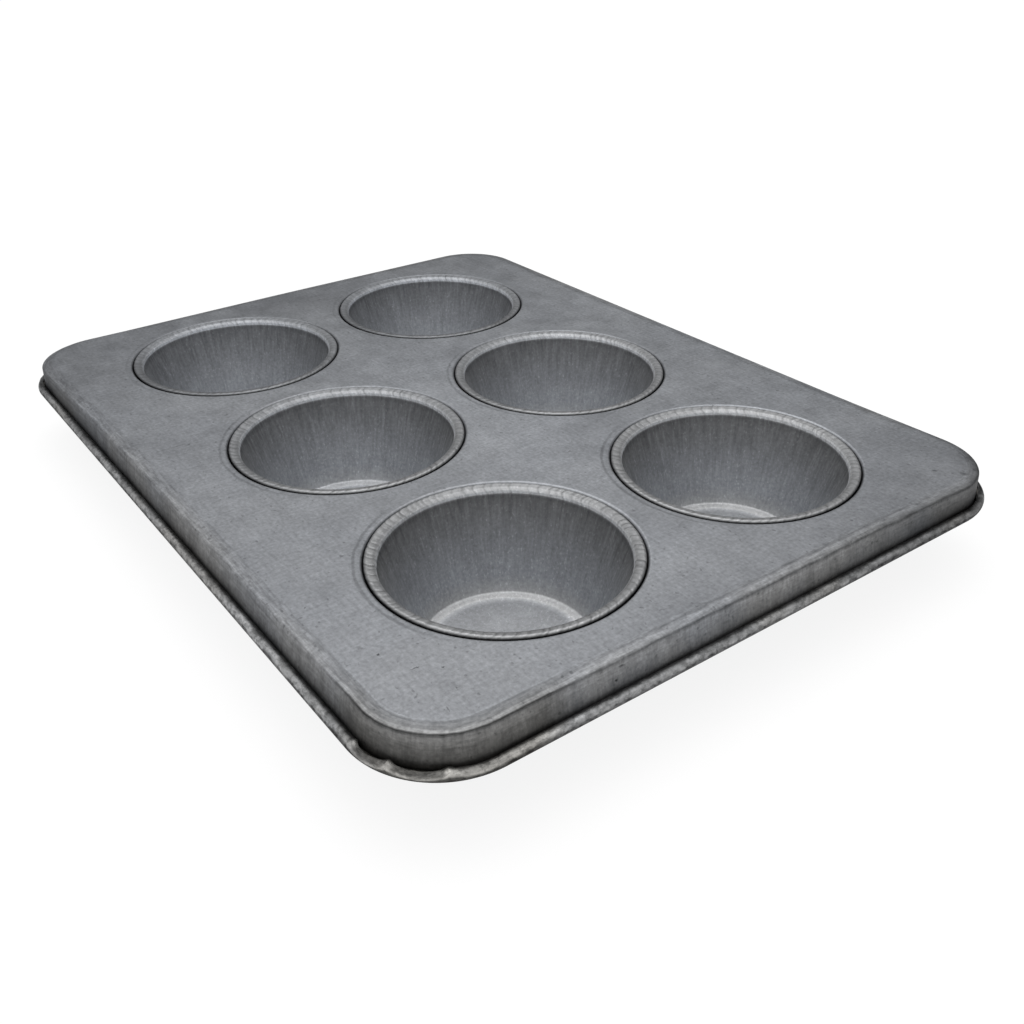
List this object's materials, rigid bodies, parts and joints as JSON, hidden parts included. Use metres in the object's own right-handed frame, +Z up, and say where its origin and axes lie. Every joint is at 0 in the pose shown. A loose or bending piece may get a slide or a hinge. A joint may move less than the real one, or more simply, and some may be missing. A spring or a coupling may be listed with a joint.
{
  "type": "muffin pan",
  "caption": "Rectangular muffin pan: a drawn steel frame sheet with a wired rim, and round tapered cups locked into its holes.",
  "frame": {"origin": "on the surface that the pan stands on, under the middle of the pan", "axes": "+X along the long side with three cups, +Y along the short side with two, +Z up out of the cups"},
  "size_m": [0.3966, 0.3026, 0.0441],
  "materials": {
    "aluminised_sheet": "matt aluminised steel, grey and finely mottled",
    "aluminised_cup": "drawn aluminised steel with upright draw lines",
    "steel_wire": "plain drawn wire"
  },
  "bodies": {
    "root": {"frame_sheet": "aluminised_sheet", "rim_wire": "steel_wire", "cup_front_left": "aluminised_cup", "cup_front_middle": "aluminised_cup", "cup_front_right": "aluminised_cup", "cup_back_left": "aluminised_cup", "cup_back_middle": "aluminised_cup", "cup_back_right": "aluminised_cup"}
  },
  "joints": []
}
